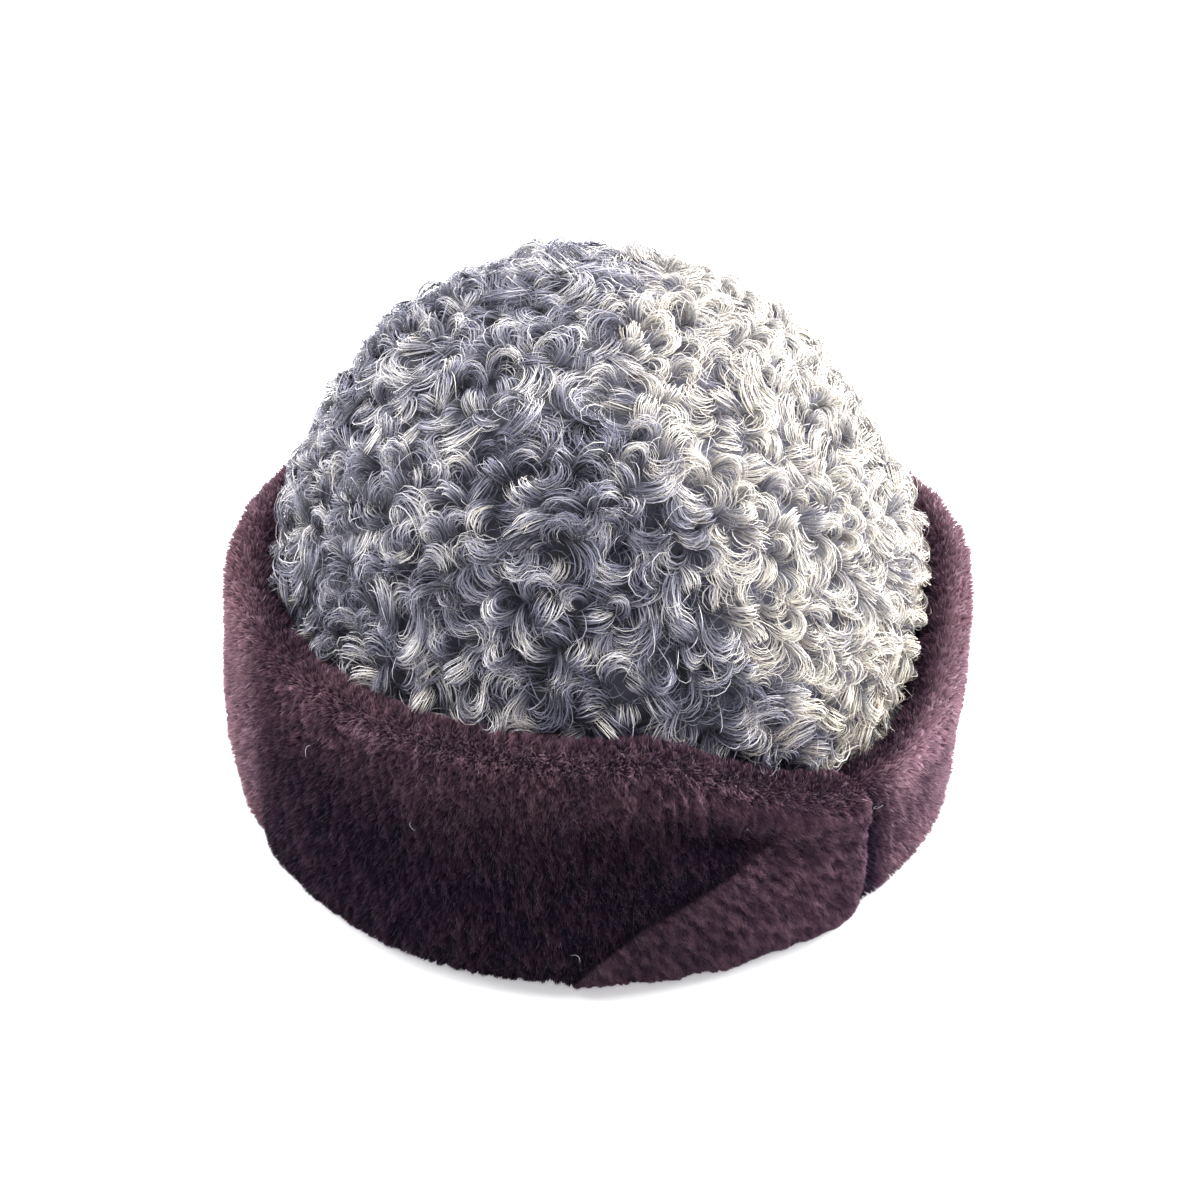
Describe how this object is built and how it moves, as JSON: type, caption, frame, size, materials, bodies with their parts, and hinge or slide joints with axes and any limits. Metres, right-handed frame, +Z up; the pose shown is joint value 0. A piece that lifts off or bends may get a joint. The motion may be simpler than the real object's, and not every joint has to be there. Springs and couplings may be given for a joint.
{
  "type": "round fur hat with a curly lamb crown and a turned-up sheared fur cuff",
  "caption": "Round brimless winter hat: a hollow dome of curly lamb pelt in a tall turned-up cuff of sheared fur, with a slanted corner panel and a slit at the front right.",
  "frame": {"origin": "on the surface that the hat stands on, under the middle of its outline", "axes": "+Z up through the crown, -Y towards the front, +X to the wearer's left as the picture shows the hat, where the slit is"},
  "size_m": [0.2446, 0.2442, 0.1697],
  "materials": {
    "pelt_leather": "undyed suede, the flesh side of the pelt",
    "curly_fleece": "curly lamb locks, blue-grey with white hairs, cream at one side",
    "cuff_fur": "sheared dense fur, dark plum brown",
    "corner_fur": "sheared dense fur, plum brown, lighter and redder than the rest"
  },
  "bodies": {
    "root": {"crown_skin": "pelt_leather", "crown_curls": "curly_fleece", "cuff_front": "cuff_fur", "cuff_corner": "corner_fur", "cuff_back": "cuff_fur"}
  },
  "joints": []
}
